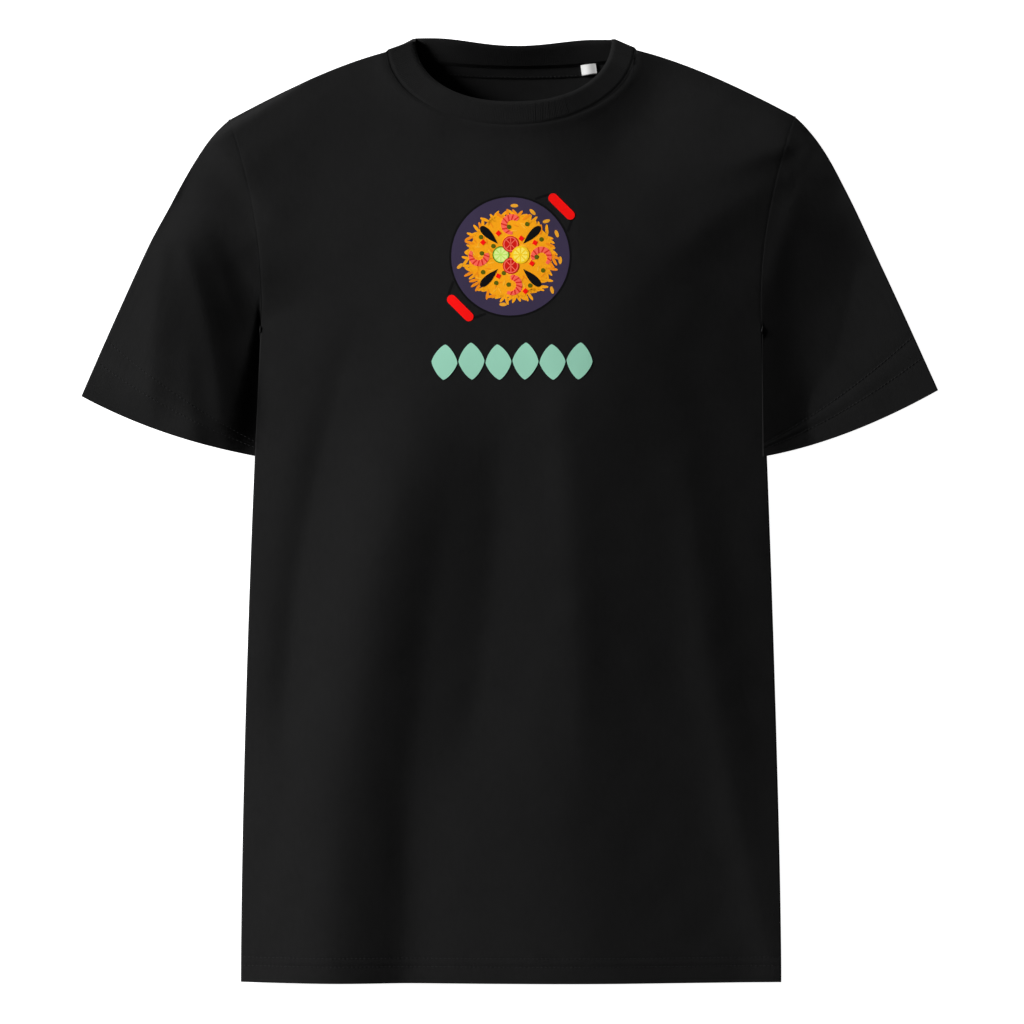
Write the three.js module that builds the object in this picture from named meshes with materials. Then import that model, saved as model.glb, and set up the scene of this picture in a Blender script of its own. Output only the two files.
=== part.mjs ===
// A short-sleeved crew-neck T-shirt lying on its back, with some air left between its layers.
// Millimetres, +Z up out of the chest, +Y towards the neck, +X towards the wearer's left sleeve.
// The origin is on the floor, in the middle of the shirt's outline.
//
// The back panel lies flat. The front panel, the sleeves and the collar are closed sheets of cloth
// whose plan is stretched between boundary curves, and whose height comes from the loft of the
// layer plus a short list of soft folds. Plan points are written from the hem, for the +X half.

import * as THREE from "three";

// Driving dimensions.
const LENGTH = 761; // hem to the top of the collar
const CLOTH = 1.5; // thickness of a cloth layer
const RIB = 2.4; // thickness of the doubled rib collar
const SEAM_GAP = 1; // clear space between two pieces at a seam
const STACK_GAP = 0.35; // clear space between pieces that lie on each other
const FOLD_Z = 3.6; // height of the front layer where it comes down to the back layer

const HEM_HALF = 217; // half the width at the hem
const UNDERARM = new THREE.Vector2(201, 526);
const SHOULDER = new THREE.Vector2(228, 697);
const NECK_POINT = new THREE.Vector2(99, 755); // where the collar seam crosses the shoulder
const SLEEVE_TIP = new THREE.Vector2(346, 478);
const CUFF_INNER = new THREE.Vector2(207, 424);
const SIDE_TAPER = 1.6; // above 1 keeps most of the side's narrowing near the underarm

const NECK_DROP_FRONT = 64; // how far the collar seam dips below the neck point
const NECK_DROP_BACK = 17;
const COLLAR_EDGE = new THREE.Vector2(79, 758.7); // the collar's free edge at the shoulder
const COLLAR_DROP_FRONT = 49.5;
const COLLAR_DROP_BACK = 4;
const COLLAR_RISE = 3; // how far the free edge stands above the seam in front

const LOFT_HEM = 20; // height of the front layer along the middle
const LOFT_CHEST = 40;
const LOFT_NECK = 33;
const LOFT_CUFF = 25;
const LOFT_SIDE_LOSS = 0.3; // share of the height lost from the middle to the side
const SIDE_POWER = 0.6; // below 1 makes a round side and a flatter top
const SHOULDER_ROUND = 32; // how far in from the shoulder line the front reaches its full height
const UNDERARM_BLEND = 80; // how far above the underarm the armhole reaches its full height
const CUFF_INNER_LOSS = 0.4; // share of the cuff's height lost towards its inner end

const TAPE_WIDTH = 10;
const TAPE_THICK = 0.6;
const TAPE_HALF = 86; // half the neck tape's span
const LABEL_CENTRE = new THREE.Vector2(63, 736);
const LABEL_SIZE = new THREE.Vector3(13, 9, 0.5);
const LABEL_TURN = THREE.MathUtils.degToRad(10);

// Soft folds as [start, middle, end, half width, height]; a negative height is a valley.
const BODY_FOLDS = [
  [[-46, 490], [-112, 330], [-130, 0], 32, 8],
  [[-6, 480], [-74, 280], [-84, 0], 24, -6],
  [[40, 470], [60, 270], [66, 0], 34, 6],
  [[86, 470], [108, 260], [124, 0], 26, -4],
  [[112, 490], [160, 330], [196, 60], 18, 4],
  [[214, 668], [180, 646], [132, 622], 16, -4],
  [[-214, 664], [-184, 646], [-140, 630], 14, -4],
  [[122, 728], [88, 694], [36, 664], 18, -5],
];
const SLEEVE_FOLDS = [
  [[262, 640], [266, 560], [252, 430], 18, 6],
  [[296, 580], [302, 530], [312, 460], 14, 3],
];

const FRONT_COLUMNS = 28;
const FRONT_ROWS = 26;
const SLEEVE_STEPS_AROUND = 18; // along one layer of the flattened tube
const SLEEVE_STEPS_ALONG = 10;
const COLLAR_STEPS_AROUND = 56;
const COLLAR_STEPS_ACROSS = 2;
const TAPE_STEPS = 16;
const OUTLINE_STEPS = 14;
const FOLD_STEPS = 10;

const { lerp, clamp, smoothstep } = THREE.MathUtils;
const mirrored = (p) => new THREE.Vector2(-p.x, p.y);

// ---------------------------------------------------------------- outline curves, +X half

const curveThrough = (start, a, b, end) =>
  new THREE.CubicBezierCurve(start, new THREE.Vector2(...a), new THREE.Vector2(...b), end);

const ARMHOLE = curveThrough(UNDERARM, [198, 590], [212, 650], SHOULDER);
const SHOULDER_LINE = curveThrough(SHOULDER, [190, 717], [140, 741], NECK_POINT);
const SLEEVE_OUTER = curveThrough(SHOULDER, [254, 676], [276, 634], SLEEVE_TIP);
const CUFF = curveThrough(SLEEVE_TIP, [305, 455], [255, 433], CUFF_INNER);

const sideHalf = (y) => HEM_HALF - (HEM_HALF - UNDERARM.x) * (y / UNDERARM.y) ** SIDE_TAPER;

// The body's edge from the hem (0) to the shoulder point (1): the side seam, then the armhole.
function bodyEdge(v) {
  const y = v * SHOULDER.y;
  if (y <= UNDERARM.y) return new THREE.Vector2(sideHalf(y), y);
  return ARMHOLE.getPoint((y - UNDERARM.y) / (SHOULDER.y - UNDERARM.y));
}

// The neck seam from the -X neck point (0) to the +X one (1).
function neckSeam(share, drop) {
  const turn = share * Math.PI;
  return new THREE.Vector2(-NECK_POINT.x * Math.cos(turn), NECK_POINT.y - drop * Math.sin(turn));
}

// The front's top edge from the -X shoulder point (0) to the +X one (1), a quarter for each shoulder.
function frontTop(u) {
  if (u < 0.25) return mirrored(SHOULDER_LINE.getPoint(u * 4));
  if (u > 0.75) return SHOULDER_LINE.getPoint((1 - u) * 4);
  return neckSeam((u - 0.25) * 2, NECK_DROP_FRONT);
}

// ---------------------------------------------------------------- heights

// One soft fold at (x, y): a round ridge along a curve, which fades in from its start.
function foldHeight([start, middle, end, halfWidth, height], x, y) {
  const curve = new THREE.QuadraticBezierCurve(...[start, middle, end].map((p) => new THREE.Vector2(...p)));
  const line = curve.getPoints(FOLD_STEPS);
  let nearest = Infinity;
  let share = 0;
  for (let i = 0; i < FOLD_STEPS; i++) {
    const a = line[i];
    const run = line[i + 1].clone().sub(a);
    const along = clamp(((x - a.x) * run.x + (y - a.y) * run.y) / run.lengthSq(), 0, 1);
    const away = Math.hypot(x - a.x - along * run.x, y - a.y - along * run.y);
    if (away < nearest) {
      nearest = away;
      share = (i + along) / FOLD_STEPS;
    }
  }
  return height * smoothstep(share, 0, 0.3) * Math.exp(-((nearest / halfWidth) ** 2));
}

const foldsAt = (folds, x, y) => folds.reduce((sum, fold) => sum + foldHeight(fold, x, y), 0);

// 0 on the shoulder line, 1 further in, along a quarter circle.
function shoulderFactor(x, y) {
  const slope = (NECK_POINT.y - SHOULDER.y) / (SHOULDER.x - NECK_POINT.x);
  const lineY = SHOULDER.y + (SHOULDER.x - Math.abs(x)) * slope;
  const inside = clamp((lineY - y) / Math.hypot(1, slope) / SHOULDER_ROUND, 0, 1);
  return Math.sqrt(1 - (1 - inside) ** 2);
}

function loft(x, y) {
  const upToChest = lerp(LOFT_HEM, LOFT_CHEST, smoothstep(y, 0, UNDERARM.y));
  const upToNeck = lerp(upToChest, LOFT_NECK, smoothstep(y, UNDERARM.y, SHOULDER.y));
  return upToNeck * (1 - LOFT_SIDE_LOSS * (x / HEM_HALF) ** 2);
}

// Top of the front layer; edge is 0 at the side or armhole and 1 along the middle.
function frontHeight(x, y, edge) {
  const armholeOpen = smoothstep(y, UNDERARM.y, UNDERARM.y + UNDERARM_BLEND);
  const side = 1 - (1 - edge ** SIDE_POWER) * (1 - armholeOpen);
  return FOLD_Z + (loft(x, y) - FOLD_Z + foldsAt(BODY_FOLDS, x, y)) * side * shoulderFactor(x, y);
}

// ---------------------------------------------------------------- sheets of cloth

// Points [row][column] on a sheet; place takes the shares across and along.
const gridOf = (rows, columns, place) =>
  Array.from({ length: rows + 1 }, (_, i) =>
    Array.from({ length: columns + 1 }, (_, j) => place(j / columns, i / rows)));

// The same grid moved inwards by the cloth's thickness, along the sheet's own normals.
function innerGrid(outer, thickness, wrap) {
  const columns = outer[0].length;
  const at = (i, j) => outer[clamp(i, 0, outer.length - 1)][wrap ? (j + columns) % columns : clamp(j, 0, columns - 1)];
  return outer.map((row, i) => row.map((p, j) => {
    const across = at(i, j + 1).clone().sub(at(i, j - 1));
    const along = at(i + 1, j).clone().sub(at(i - 1, j));
    return p.clone().addScaledVector(across.cross(along).normalize(), -thickness);
  }));
}

// A closed sheet between an outer and an inner grid. wrap joins the last column to the first.
function sheetGeometry(outer, thickness, wrap = false) {
  const inner = innerGrid(outer, thickness, wrap);
  const rows = outer.length;
  const columns = outer[0].length;
  const at = (layer, i, j) => (layer * rows + i) * columns + (j % columns);
  const index = [];
  const quad = (a, b, c, d) => index.push(a, b, c, a, c, d);
  const spans = wrap ? columns : columns - 1;
  const last = rows - 1;
  for (let j = 0; j < spans; j++) {
    for (let i = 0; i < last; i++) {
      quad(at(0, i, j), at(0, i, j + 1), at(0, i + 1, j + 1), at(0, i + 1, j));
      quad(at(1, i, j), at(1, i + 1, j), at(1, i + 1, j + 1), at(1, i, j + 1));
    }
    quad(at(0, 0, j), at(1, 0, j), at(1, 0, j + 1), at(0, 0, j + 1));
    quad(at(0, last, j), at(0, last, j + 1), at(1, last, j + 1), at(1, last, j));
  }
  for (let i = 0; i < last && !wrap; i++) {
    quad(at(0, i, 0), at(0, i + 1, 0), at(1, i + 1, 0), at(1, i, 0));
    quad(at(0, i, spans), at(1, i, spans), at(1, i + 1, spans), at(0, i + 1, spans));
  }
  const geometry = new THREE.BufferGeometry();
  const positions = [outer, inner].flat(2).flatMap((p) => [p.x, p.y, p.z]);
  geometry.setAttribute("position", new THREE.Float32BufferAttribute(positions, 3));
  geometry.setIndex(index);
  geometry.computeVertexNormals();
  return geometry;
}

// ---------------------------------------------------------------- the pieces

// Columns crowd towards the sides, where the layer turns down to the floor.
function frontPanel() {
  const crowd = (u) => (1 - Math.cos(Math.PI * u)) / 2;
  const outer = gridOf(FRONT_ROWS, FRONT_COLUMNS, (u, v) => {
    const right = bodyEdge(v);
    const top = frontTop(u);
    const hemX = lerp(-HEM_HALF, HEM_HALF, crowd(u));
    const cornerX = lerp(-SHOULDER.x, SHOULDER.x, crowd(u));
    const x = lerp(hemX, top.x, v) + lerp(-right.x, right.x, crowd(u)) - lerp(hemX, cornerX, v);
    const y = right.y + v * (top.y - SHOULDER.y);
    return new THREE.Vector3(x, y, frontHeight(x, y, Math.sin(Math.PI * u)));
  });
  return sheetGeometry(outer, CLOTH);
}

function backPanel() {
  const shares = Array.from({ length: OUTLINE_STEPS + 1 }, (_, i) => i / OUTLINE_STEPS);
  const edge = shares.map((v) => bodyEdge(v));
  const shoulder = shares.slice(1).map((share) => SHOULDER_LINE.getPoint(share));
  const neck = shares.slice(1, -1).map((share) => neckSeam(1 - share, NECK_DROP_BACK));
  const half = [...edge, ...shoulder];
  const outline = [...half, ...neck, ...half.toReversed().map(mirrored)];
  return new THREE.ExtrudeGeometry(new THREE.Shape(outline), { depth: CLOTH, bevelEnabled: false });
}

// Plan of a sleeve: s runs from its outer edge (0) to its inner one (1), t from armhole to cuff.
function sleevePlan(s, t) {
  const seam = ARMHOLE.getPoint(1 - s).lerp(CUFF.getPoint(s), t);
  const edges = SLEEVE_OUTER.getPoint(t).lerp(UNDERARM.clone().lerp(CUFF_INNER, t), s);
  const corners = SHOULDER.clone().lerp(UNDERARM, s).lerp(SLEEVE_TIP.clone().lerp(CUFF_INNER, s), t);
  return seam.add(edges).sub(corners);
}

// A sleeve is a flattened tube: each ring runs over the top layer and back along the floor.
function sleeve(side) {
  const lastColumn = 2 * SLEEVE_STEPS_AROUND - 1;
  const outer = gridOf(SLEEVE_STEPS_ALONG, lastColumn, (column, t) => {
    const turn = (column * lastColumn / SLEEVE_STEPS_AROUND) * Math.PI;
    const s = (1 - Math.cos(turn)) / 2;
    const plan = sleevePlan(s, t);
    const x = plan.x + 2 * SEAM_GAP;
    if (turn > Math.PI + 0.01) {
      const rim = FOLD_Z * (1 - Math.abs(Math.sin(turn))) ** 6;
      return new THREE.Vector3(side * x, plan.y, rim);
    }
    const seam = ARMHOLE.getPoint(1 - s);
    const seamTop = frontHeight(side * seam.x, seam.y, 0);
    const cuffTop = LOFT_CUFF * (1 - CUFF_INNER_LOSS * s) + foldsAt(SLEEVE_FOLDS, x, plan.y);
    const cuffHeight = lerp(FOLD_Z, cuffTop, Math.sin(turn) ** SIDE_POWER);
    return new THREE.Vector3(side * x, plan.y, lerp(seamTop, cuffHeight, smoothstep(t, 0, 0.7)));
  });
  const facing = side > 0 ? outer : outer.map((row) => row.toReversed());
  return sheetGeometry(facing, CLOTH, true);
}

// The collar is a ring of rib, sewn on along its lower edge. It lies on the floor behind the neck
// and on the front layer before it.
function collar() {
  const ring = gridOf(COLLAR_STEPS_ACROSS, COLLAR_STEPS_AROUND - 1, (column, across) => {
    const turn = (column * (COLLAR_STEPS_AROUND - 1) / COLLAR_STEPS_AROUND) * 2 * Math.PI;
    const dip = Math.abs(Math.sin(turn));
    const inFront = Math.sin(turn) > 0;
    const seamDrop = inFront ? NECK_DROP_FRONT : NECK_DROP_BACK;
    const edgeDrop = inFront ? COLLAR_DROP_FRONT : COLLAR_DROP_BACK;
    const seamX = (NECK_POINT.x - SEAM_GAP) * Math.cos(turn);
    const seamY = NECK_POINT.y + SEAM_GAP - seamDrop * dip;
    const x = lerp(seamX, COLLAR_EDGE.x * Math.cos(turn), across);
    const y = lerp(seamY, COLLAR_EDGE.y - edgeDrop * dip, across);
    const onFront = frontHeight(seamX, seamY, 1) + COLLAR_RISE * across * dip;
    return new THREE.Vector3(x, y, inFront ? Math.max(onFront, RIB) : RIB);
  });
  return sheetGeometry(ring, RIB, true);
}

// The tape covers the back neck seam on the inside, so it lies on the back panel.
function neckTape() {
  const tape = gridOf(1, TAPE_STEPS, (u, v) => {
    const x = lerp(-TAPE_HALF, TAPE_HALF, u);
    const seamY = NECK_POINT.y - NECK_DROP_BACK * Math.sqrt(1 - (x / NECK_POINT.x) ** 2);
    return new THREE.Vector3(x, seamY - SEAM_GAP - (1 - v) * TAPE_WIDTH, CLOTH + STACK_GAP + TAPE_THICK);
  });
  return sheetGeometry(tape, TAPE_THICK);
}

// ---------------------------------------------------------------- the shirt

const shirt = new THREE.Group();
shirt.name = "t_shirt";

function add(name, geometry, color, roughness = 0.92) {
  const material = new THREE.MeshStandardMaterial({ color, roughness, metalness: 0 });
  const mesh = new THREE.Mesh(geometry, material);
  mesh.name = name;
  mesh.position.y = -LENGTH / 2;
  shirt.add(mesh);
  return mesh;
}

const JERSEY_BLACK = 0x1b1b1d;
const LABEL_WHITE = 0xe4e6ea;

add("front_panel", frontPanel(), JERSEY_BLACK);
add("back_panel", backPanel(), JERSEY_BLACK);
add("sleeve_left", sleeve(-1), JERSEY_BLACK);
add("sleeve_right", sleeve(1), JERSEY_BLACK);
add("collar", collar(), JERSEY_BLACK);
add("neck_tape", neckTape(), JERSEY_BLACK);

const label = add("size_label", new THREE.BoxGeometry(...LABEL_SIZE), LABEL_WHITE, 0.6);
const tapeTop = CLOTH + STACK_GAP + TAPE_THICK;
label.position.set(LABEL_CENTRE.x, LABEL_CENTRE.y - LENGTH / 2, tapeTop + STACK_GAP + LABEL_SIZE.z / 2);
label.rotation.z = LABEL_TURN;

export default shirt;
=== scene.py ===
"""A black crew-neck T-shirt lying on its back, with a drawing printed on its chest.

The shirt is seen from straight above, with its neck at the top of the picture. Shapes are worked out in
millimetres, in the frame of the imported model, and become metres when a mesh is made: +X to the right,
+Y towards the neck and +Z up out of the chest.
"""

import math

import bpy
import numpy as np
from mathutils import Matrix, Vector, noise


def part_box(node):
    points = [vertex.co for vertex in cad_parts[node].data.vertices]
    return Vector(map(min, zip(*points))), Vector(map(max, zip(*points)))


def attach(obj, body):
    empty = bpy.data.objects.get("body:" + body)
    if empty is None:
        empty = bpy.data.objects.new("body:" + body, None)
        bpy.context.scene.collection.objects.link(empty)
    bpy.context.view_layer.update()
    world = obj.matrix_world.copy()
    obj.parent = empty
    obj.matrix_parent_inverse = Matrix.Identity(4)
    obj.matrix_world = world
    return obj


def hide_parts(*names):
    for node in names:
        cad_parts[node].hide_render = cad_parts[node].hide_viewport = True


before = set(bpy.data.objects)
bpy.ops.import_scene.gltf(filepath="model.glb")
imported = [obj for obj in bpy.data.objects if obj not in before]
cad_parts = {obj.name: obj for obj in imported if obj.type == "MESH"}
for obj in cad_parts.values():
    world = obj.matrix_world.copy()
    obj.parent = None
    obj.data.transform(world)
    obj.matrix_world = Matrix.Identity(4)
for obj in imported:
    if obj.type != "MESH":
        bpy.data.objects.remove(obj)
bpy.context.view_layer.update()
MM = 0.001

# ------------------------------------------------------------------ the outline, from the frame


def box_mm(node):
    low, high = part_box(node)
    return np.array(low) / MM, np.array(high) / MM


FRONT_LOW, FRONT_HIGH = box_mm("front_panel")
SLEEVE_LOW, SLEEVE_HIGH = box_mm("sleeve_right")
_, COLLAR_HIGH = box_mm("collar")
LABEL_LOW, LABEL_HIGH = box_mm("size_label")

HEM_Y = FRONT_LOW[1]
HEM_HALF = 218.2
UNDERARM = (202.4, HEM_Y + 526)
SHOULDER = (FRONT_HIGH[0], SLEEVE_HIGH[1])
NECK_POINT = (99.5, FRONT_HIGH[1] - 5)  # where the collar seam crosses the shoulder
SLEEVE_TIP = {-1: (SLEEVE_HIGH[0] - 0.5, HEM_Y + 473), 1: (SLEEVE_HIGH[0] - 2, HEM_Y + 478)}  # left, right
CUFF_INNER = (203.5, SLEEVE_LOW[1])  # just under the body's side
SIDE_TAPER = 1.6

NECK_DROP_FRONT = 59.5
NECK_DROP_BACK = 12.0
COLLAR_EDGE = (79.0, COLLAR_HIGH[1] - 2.5)
COLLAR_DROP_FRONT = 49.5
COLLAR_DROP_BACK = 5.5

CLOTH = 0.9  # thickness of the jersey
RIB = 2.2  # thickness of the doubled rib collar
EDGE_ROUND = 1.2  # radius of the folds along the sides and shoulders
WALL_FOOT = 1.5  # where the front layer comes down to the back one

LOFT_HEM = 27.2
LOFT_CHEST = 30.0
LOFT_NECK = 26.8
LOFT_SIDE_LOSS = 0.34  # share of the loft lost at the left side
TILT = 0.055  # the shirt is a little fuller on its right side
COLLAR_MOUND = (3.1, 17.0)  # the body rises towards the collar seam: height, reach

# The cloth falls away to the right of this line.
FALL_LINE = ((166, 348), (41, 145), (13, -110), (63, -397))
FALL_SLOPE = 0.21
FALL_TURN = 30.0

# A fold: path down the shirt, reach on the +X side, reach on the -X side, height, roundness, fade in and
# fade out. These folds were not chosen by hand, and neither were the loft, side loss, tilt, mound and fall
# above or the key light's direction. A scratch program found them together by least squares, as the values
# whose shading came nearest to the reference photo's, and they were then rounded. The headings only say
# where each fold turned out to lie.
BODY_FOLDS = [
    # the long ridge down the left of the chest, and the two creases at its foot
    (((-44, 150), (-142, -58), (-151, -404)), 58, 89, 12.6, 26, 0.41, 0),
    (((-5, 163), (-81, -53), (-83, -403)), 38, 19, -5.0, 19, 0.64, 0),
    (((-2, 123), (-4, -81), (-41, -252)), 70, 13.5, -5.3, 32, 0.33, 0.3),
    # from the left armpit
    (((-101, 211), (-183, -19), (-181, -224)), 70, 5, -3.8, 28, 0.44, 0.25),
    # the thin ridge down the right side, and the hollow beside it
    (((145, 134), (140, -86), (217, -368)), 57, 8.2, 2.6, 25, 0.59, 0),
    (((145, 156), (182, -62), (218, -317)), 9.3, 7, -0.9, 27, 0.23, 0.25),
    # from the neck to the chest
    (((131, 367), (116, 298), (25, 234)), 70, 39, -9.4, 29, 0.2, 0.57),
    # drag lines from the armholes
    (((242, 274), (180, 265), (85, 162)), 18.7, 33, 3.05, 10, 0.15, 0.4),
    (((247, 298), (218, 299), (126, 258)), 6, 54, 7.5, 12.6, 0.15, 0.86),
    (((-244, 309), (-228, 276), (-166, 223)), 70, 19.5, 6.3, 9, 0.15, 0.6),
    (((-245, 238), (-201, 191), (-188, 156)), 35.6, 21, 6.0, 8, 0.34, 0.52),
    # the edge of the fall
    (((37, 111), (55, -40), (59, -248)), 6.5, 5, 1.23, 26, 0.15, 0.32),
]

# ------------------------------------------------------------------ curves and heights


def bezier(points, t):
    """Points on a quadratic or cubic Bezier curve at the shares t."""
    t = np.asarray(t, float)[..., None]
    p = [np.asarray(q, float) for q in points]
    if len(p) == 3:
        return (1 - t) ** 2 * p[0] + 2 * t * (1 - t) * p[1] + t**2 * p[2]
    return (1 - t) ** 3 * p[0] + 3 * t * (1 - t) ** 2 * p[1] + 3 * t**2 * (1 - t) * p[2] + t**3 * p[3]


def smoothstep(x, low, high):
    t = np.clip((x - low) / (high - low), 0, 1)
    return t * t * (3 - 2 * t)


def rounded(t):
    """A quarter circle from 0 at t = 0 to 1 at t = 1."""
    return np.sqrt(np.clip(1 - (1 - np.clip(t, 0, 1)) ** 2, 0, 1))


def mix(a, b, share):
    return a + (b - a) * share


def along_line(points, x, y):
    """How far (x, y) is from a polyline, its share along it, and its side: -1 left of travel, 1 right."""
    best = np.full(np.shape(x), np.inf)
    share = np.zeros(np.shape(x))
    side = np.ones(np.shape(x))
    spans = len(points) - 1
    for i in range(spans):
        a, run = points[i], points[i + 1] - points[i]
        along = np.clip(((x - a[0]) * run[0] + (y - a[1]) * run[1]) / (run @ run), 0, 1)
        dx, dy = x - a[0] - along * run[0], y - a[1] - along * run[1]
        away = np.hypot(dx, dy)
        near = away < best
        best = np.where(near, away, best)
        share = np.where(near, (i + along) / spans, share)
        side = np.where(near, np.where(dx * run[1] - dy * run[0] < 0, -1, 1), side)
    return best, share, side


def fold_height(fold, x, y):
    """A soft ridge along a curve that travels down the shirt; a negative height is a valley."""
    path, reach_right, reach_left, height, roundness, fade_in, fade_out = fold
    away, share, side = along_line(bezier(path, np.linspace(0, 1, 33)), x, y)
    reach = np.where(side < 0, reach_right, reach_left)
    fade = smoothstep(share, 0, fade_in)
    if fade_out:
        fade = fade * (1 - smoothstep(share, 1 - fade_out, 1))
    return height * fade * np.exp(-(np.hypot(away, roundness) - roundness) / reach)


ARMHOLE = (UNDERARM, (198, HEM_Y + 590), (212, HEM_Y + 650), SHOULDER)
SHOULDER_LINE = (SHOULDER, (190, HEM_Y + 717), (140, HEM_Y + 741), NECK_POINT)


def side_half(y):
    share = np.clip((y - HEM_Y) / (UNDERARM[1] - HEM_Y), 0, 1)
    return HEM_HALF - (HEM_HALF - UNDERARM[0]) * share**SIDE_TAPER


def body_edge(v):
    """The body's right edge from the hem (0) to the shoulder point (1): the side, then the armhole."""
    y = mix(HEM_Y, SHOULDER[1], v)
    armhole = bezier(ARMHOLE, np.clip((y - UNDERARM[1]) / (SHOULDER[1] - UNDERARM[1]), 0, 1))
    below = y <= UNDERARM[1]
    return np.where(below, side_half(y), armhole[..., 0]), np.where(below, y, armhole[..., 1])


def neck_seam(share, drop):
    """The neck seam from the left neck point (0) to the right one (1)."""
    turn = share * math.pi
    return -NECK_POINT[0] * np.cos(turn), NECK_POINT[1] - drop * np.sin(turn)


def body_top(u, drop):
    """The top edge from the left shoulder point (0) to the right one (1), a quarter for each shoulder."""
    shoulder = bezier(SHOULDER_LINE, np.clip(np.minimum(u, 1 - u) * 4, 0, 1))
    neck_x, neck_y = neck_seam(np.clip((u - 0.25) * 2, 0, 1), drop)
    on_neck = (u > 0.25) & (u < 0.75)
    x = np.where(on_neck, neck_x, np.sign(u - 0.5) * shoulder[..., 0])
    return x, np.where(on_neck, neck_y, shoulder[..., 1])


def body_plan(across, v, drop):
    """Plan of the front or back panel; across and v are shares of the width and the length."""
    right_x, right_y = body_edge(v)
    top_x, top_y = body_top(across_to_top(across), drop)
    hem_x = mix(-HEM_HALF, HEM_HALF, across)
    corner_x = mix(-SHOULDER[0], SHOULDER[0], across)
    x = mix(hem_x, top_x, v) + mix(-right_x, right_x, across) - mix(hem_x, corner_x, v)
    return x, right_y + v * (top_y - SHOULDER[1])


NECK_ACROSS = 0.28  # share of the shoulder width at the left neck point


def across_to_top(across):
    """Puts the neck points at a quarter and three quarters of the top edge."""
    return np.interp(across, (0, NECK_ACROSS, 1 - NECK_ACROSS, 1), (0, 0.25, 0.75, 1))


def fall(x, y):
    away, _, side = along_line(bezier(FALL_LINE, np.linspace(0, 1, 33)), x, y)
    past = np.where(side < 0, away, -away)
    return FALL_SLOPE * 0.5 * (past + np.hypot(past, FALL_TURN)) * (1 - 0.2 * smoothstep(-y, 100, 380))


def ripple(x, y, size, seed):
    """Slight unevenness of cloth that has been worn and washed, from -1 to 1."""
    flat = np.stack((np.ravel(x) / size, np.ravel(y) / size), -1)
    values = [noise.noise(Vector((a, b, seed))) for a, b in flat]
    return np.reshape(values, np.shape(x))


def past_collar(x, y):
    """Roughly how far a point of the front is outside the collar's seam."""
    return (np.hypot(x / NECK_POINT[0], (NECK_POINT[1] - y) / NECK_DROP_FRONT) - 1) * 80


def front_height(x, y):
    """Top of the front layer over the floor."""
    loft = mix(LOFT_HEM, LOFT_CHEST, smoothstep(y, HEM_Y, UNDERARM[1]))
    loft = mix(loft, LOFT_NECK, smoothstep(y, UNDERARM[1], SHOULDER[1]))
    loft = loft * (1 - np.where(x > 0, 0.0, LOFT_SIDE_LOSS) * (x / HEM_HALF) ** 2) + TILT * x
    height, reach = COLLAR_MOUND
    mound = height * np.exp(-np.hypot(past_collar(x, y), 3) / reach) * smoothstep(y, 285, 325)
    return loft + mound + sum(fold_height(f, x, y) for f in BODY_FOLDS) - fall(x, y)


NECK_BOW = 11.0


def back_height(x, y):
    """Top of the back layer, which bows up under the left of the neck."""
    bow = smoothstep(-x, -75, 65) * (1 - smoothstep(-x, 85, 150)) * smoothstep(y, 280, 370)
    return 0.12 + CLOTH + 0.25 * (ripple(x, y, 45.0, 9.0) + 1) + NECK_BOW * bow


HEM_DEPTH = 20.3  # the upper needle line over the hem's edge
NEEDLE_GAP = 6.8
CUFF_DEPTH = 16.8


def hem_relief(depth, upper_line):
    """The cloth is pulled in along the hem's two needle lines and stands up between them."""
    middle = upper_line - NEEDLE_GAP / 2
    needle = sum(np.exp(-(((depth - at) / 1.1) ** 2)) for at in (upper_line, upper_line - NEEDLE_GAP))
    return 0.16 * np.exp(-(((depth - middle) / 2.2) ** 2)) - 0.14 * needle


def collar_relief(x, y):
    """The body is pulled down into the collar's seam and has a bead beside it."""
    past = past_collar(x, y)
    relief = 0.12 * np.exp(-(((past - 4.6) / 1.7) ** 2)) - 0.38 * np.exp(-((past / 1.5) ** 2))
    return relief * smoothstep(y, 300, 312)


SEAM_SINK = 0.12  # how far the armhole seams are pulled in


def armhole_gap(x, y):
    away, _, _ = along_line(bezier(ARMHOLE, np.linspace(0, 1, 33)), np.abs(x), y)
    return away


def front_surface(x, y):
    """Top of the front layer with its seams and fine unevenness."""
    seams = hem_relief(y - HEM_Y, HEM_DEPTH) + collar_relief(x, y)
    seams = seams - SEAM_SINK * np.exp(-((armhole_gap(x, y) / 1.3) ** 2)) * smoothstep(y, 140, 160)
    return front_height(x, y) + seams + 0.35 * ripple(x, y, 30.0, 3.0)


# ------------------------------------------------------------------ meshes


def normals_of(grid, wrap):
    """Unit normals of a grid of points [row][column][xyz]."""
    along = np.gradient(grid, axis=0)
    if wrap:
        across = (np.roll(grid, -1, 1) - np.roll(grid, 1, 1)) / 2
    else:
        across = np.gradient(grid, axis=1)
    n = np.cross(across, along)
    return n / np.maximum(np.linalg.norm(n, axis=-1, keepdims=True), 1e-9)


def grid_faces(rows, columns, base, wrap, flip):
    i, j = np.meshgrid(np.arange(rows - 1), np.arange(columns if wrap else columns - 1), indexing="ij")
    k = (j + 1) % columns
    quads = np.stack((i * columns + j, i * columns + k, (i + 1) * columns + k, (i + 1) * columns + j), -1)
    quads = quads.reshape(-1, 4) + base
    return quads[:, ::-1] if flip else quads


def rim_faces(loop_a, loop_b, closed):
    a, b = np.asarray(loop_a), np.asarray(loop_b)
    if closed:
        a, b = np.append(a, a[0]), np.append(b, b[0])
    return np.stack((a[:-1], b[:-1], b[1:], a[1:]), -1)


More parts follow.
